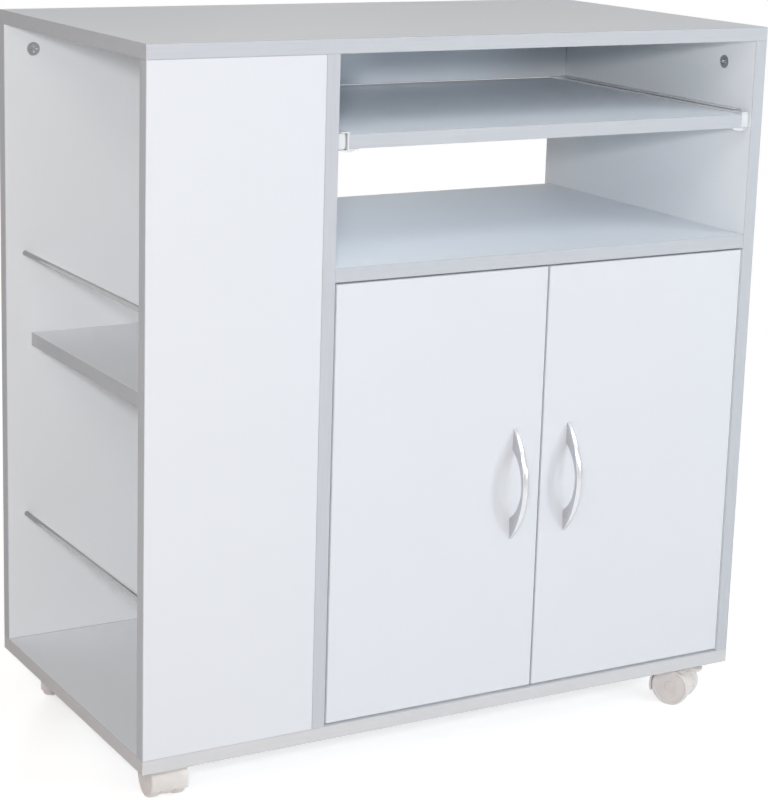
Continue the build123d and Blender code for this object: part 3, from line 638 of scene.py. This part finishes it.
def make_stop(side):
    """The stop on one outer channel, against the panel that carries it."""
    shelf_low, shelf_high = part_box("pull_out_shelf")
    bottom, top = shelf_low.z - below_shelf, shelf_high.z + above_shelf
    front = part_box("divider_panel")[0].y + stop_front
    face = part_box("divider_panel")[1].x if side == "left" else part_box("right_side_panel")[0].x
    left, right = (face, face + stop_width) if side == "left" else (face - stop_width, face)
    turns = [pi / 2 * step / corner_steps for step in range(corner_steps + 1)]
    layers = [(stop_edge * (1 - cos(turn)), stop_edge * (1 - sin(turn))) for turn in turns]
    layers += [(stop_depth - depth, inset) for depth, inset in reversed(layers)]
    rings = [[(across, front + depth, up) for across, up in stop_outline(left, right, bottom, top, inset)]
             for depth, inset in layers]
    stop = ring_mesh(side + "_channel_stop", rings)
    stop.data.materials.append(stop_plastic)
    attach(stop, body_of["slide_cabinet_" + side])
    print(stop.name, "height:", round((top - bottom) / mm, 1), "mm")


for side in ("left", "right"):
    make_stop(side)

# %% [markdown]
# Each caster has two moulded wheels. Their outer faces show a raised rim, a narrow step inside it, a
# shallow dished disc and a flat cap over the axle. Such a wheel is turned: one profile, swept round the
# axle's line. The profile is a list of distances along the axle and out from it, in millimetres. The
# pieces stay round however far the wheel has rolled, and both wheels of a caster turn together, so
# they are one piece of two turned forms.

# %% Caster wheels
turn_steps = 96
wheel_crease = 40.0
wheel_profile = (
    (8.0, 3.1), (8.0, 19.6), (8.1, 20.6), (8.6, 21.6), (9.4, 22.2), (10.4, 22.5), (17.4, 22.5), (18.6, 22.25),
    (19.4, 21.7), (19.85, 21.0), (20.0, 20.2), (19.95, 19.7), (19.7, 19.35), (19.2, 19.1), (19.0, 18.7),
    (19.0, 18.0), (19.15, 14.0), (19.3, 10.0), (19.3, 7.4), (19.15, 6.9), (19.15, 6.5), (19.45, 6.35),
    (19.8, 6.1), (19.95, 5.5), (20.0, 3.0), (20.0, 0.3))


def turned_ring(middle, axle, radius):
    """A ring of points round an axle, about a point on it."""
    up = Vector((0.0, 0.0, 1.0))
    ahead = up.cross(axle)
    turns = [2 * pi * step / turn_steps for step in range(turn_steps)]
    return [tuple(middle + (up * cos(turn) + ahead * sin(turn)) * radius * mm) for turn in turns]


def make_wheels(place):
    """Both wheels of one caster, turned round its axle."""
    name = place + "_wheels"
    low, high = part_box(name)
    centre = (low + high) / 2
    axle = Vector(joints[place + "_wheel_spin"]["axis"]).normalized()
    halves = []
    for way, side in ((-1, "_inner"), (1, "_outer")):
        rings = [turned_ring(centre + axle * way * out * mm, axle, radius) for out, radius in wheel_profile]
        halves.append(ring_mesh(name + side, rings, wheel_crease))
    wheels = halves[1]
    joined = {"active_object": wheels, "selected_editable_objects": halves, "selected_objects": halves}
    with bpy.context.temp_override(**joined):
        bpy.ops.object.join()
    wheels.name = place + "_turned_wheels"
    wheels.data.materials.append(wheel_ivory)
    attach(wheels, body_of[name])
    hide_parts(name)


caster_places = ("front_left", "front_right", "rear_left", "rear_right")
for place in caster_places:
    make_wheels(place)
print("wheel pairs:", len(caster_places))

# %% [markdown]
# The floor is plain and pale, and it keeps the cabinet's shadow. Seen by the camera, or in metal and
# glass, a part of its light is its own, so that it comes out nearly white where nothing shades it.
# Further out it fades into the white backdrop, so no horizon shows.

# %% Floor
floor_half = 8.0
floor_dusty = (0.86, 0.855, 0.85)
floor_pale = (0.90, 0.895, 0.89)
floor_roughness = 0.7
dust_scale = 25.0
dust_detail = 4.0
fade_start = 0.7
fade_end = 2.2
floor_glow = 0.52
plain_white = (1.0, 1.0, 1.0, 1.0)


def plainly_seen(tree):
    """1 where the camera, a reflection or a clear pane sees the surface, else 0."""
    rays = add(tree, "LightPath", {}).outputs
    seen = sums(tree, "MAXIMUM", rays["Is Camera Ray"], rays["Is Glossy Ray"])
    return sums(tree, "MAXIMUM", seen, rays["Is Transmission Ray"])


floor_mesh = bpy.data.meshes.new("floor")
corners = [(x * floor_half, y * floor_half, 0.0) for x, y in ((-1, -1), (1, -1), (1, 1), (-1, 1))]
floor_mesh.from_pydata(corners, [], [(0, 1, 2, 3)])
floor = bpy.data.objects.new("floor", floor_mesh)
scene.collection.objects.link(floor)
material, tree, shader, place = start_material("pale_floor", Roughness=floor_roughness)
dust = noise(tree, place, dust_scale, dust_detail)
tree.links.new(blend(tree, dust, floor_dusty, floor_pale), shader.inputs["Base Color"])
reach = add(tree, "VectorMath", {0: place}, operation="LENGTH").outputs["Value"]
fade = add(tree, "MapRange", {"Value": reach, "From Min": fade_start, "From Max": fade_end}).outputs[0]
glow = add(tree, "Emission", {"Color": plain_white, "Strength": floor_glow}).outputs[0]
lit = add(tree, "AddShader", {0: shader.outputs[0], 1: glow}).outputs[0]
white = add(tree, "Emission", {"Color": plain_white, "Strength": 1.0}).outputs[0]
faded = add(tree, "MixShader", {0: fade, 1: lit, 2: white}).outputs[0]
chosen = add(tree, "MixShader", {0: plainly_seen(tree), 1: shader.outputs[0], 2: faded}).outputs[0]
tree.links.new(chosen, tree.nodes["Material Output"].inputs["Surface"])
floor_mesh.materials.append(material)
print("floor:", 2 * floor_half, "m wide")

# %% [markdown]
# The backdrop is the world itself. The camera, metal and glass see plain white. For all other light the
# world is only a dim, even fill.

# %% Backdrop and fill
fill_strength = 0.26
fill_colour = (1.0, 0.96, 0.935, 1.0)

world = bpy.data.worlds.new("backdrop")
scene.world = world
world.use_nodes = True
tree = world.node_tree
fill = tree.nodes["Background"]
feed(tree, fill.inputs["Color"], fill_colour)
feed(tree, fill.inputs["Strength"], fill_strength)
white = add(tree, "Background", {"Color": plain_white, "Strength": 1.0}).outputs[0]
chosen = add(tree, "MixShader", {0: plainly_seen(tree), 1: fill.outputs[0], 2: white}).outputs[0]
tree.links.new(chosen, tree.nodes["World Output"].inputs["Surface"])
print("fill strength:", fill_strength)

# %% [markdown]
# The soft lamps stand where the shadows in the photograph point back to. A small one beside the camera
# throws the wedge under the pull-out shelf, and one low to the right throws the handles' soft shadows.
# Two cool ones look into the bay and on its floor. A wide one hangs overhead, and another stands high
# on the left, for the open tower. One stands low behind, so that the back isn't left in the dark. It is
# too low to light the bay's boards from behind, which the photograph doesn't show. The last is a weak
# warm one at the lower left, where the photograph's edges are a little brown.

# %% Lamps
def soft_lamp(name, place, aim_height, size, watts, colour):
    """A round lamp that looks at a point on the cabinet's middle line."""
    data = bpy.data.lights.new(name, "AREA")
    data.shape = "DISK"
    data.size = size
    data.energy = watts
    data.color = colour
    lamp = bpy.data.objects.new(name, data)
    scene.collection.objects.link(lamp)
    lamp.visible_camera = False
    toward = Vector((0.0, 0.0, aim_height)) - Vector(place)
    lamp.matrix_world = Matrix.Translation(place) @ toward.to_track_quat("-Z", "Y").to_matrix().to_4x4()
    return lamp


lamps = [
    soft_lamp("camera_lamp", place=(-1.325, -2.087, 1.130), aim_height=0.45, size=0.16, watts=18.5,
              colour=(1.0, 0.985, 0.985)),
    soft_lamp("right_lamp", place=(2.07, -2.34, 0.55), aim_height=0.35, size=0.3, watts=14.0,
              colour=(0.90, 0.96, 1.0)),
    soft_lamp("bay_lamp", place=(0.9, -2.2, 0.95), aim_height=0.6, size=0.7, watts=7.0,
              colour=(0.76, 0.90, 1.0)),
    soft_lamp("high_lamp", place=(1.7, -1.9, 2.2), aim_height=0.6, size=1.2, watts=17.0,
              colour=(0.85, 0.95, 1.0)),
    soft_lamp("top_lamp", place=(-0.3, -0.6, 3.0), aim_height=0.8, size=2.0, watts=5.0,
              colour=(1.0, 0.99, 0.98)),
    soft_lamp("upper_left_lamp", place=(-1.8, -1.7, 2.2), aim_height=0.6, size=1.0, watts=9.0,
              colour=(1.0, 0.97, 0.96)),
    soft_lamp("back_lamp", place=(1.1, 2.3, 0.42), aim_height=0.4, size=1.0, watts=16.0,
              colour=(0.92, 0.97, 1.0)),
    soft_lamp("left_lamp", place=(-2.6, -0.9, 0.35), aim_height=0.4, size=1.2, watts=4.0,
              colour=(1.0, 0.80, 0.66))]
print("lamps:", len(lamps), "with", sum(lamp.data.energy for lamp in lamps), "W in all")

scene.view_settings.view_transform = "Standard"
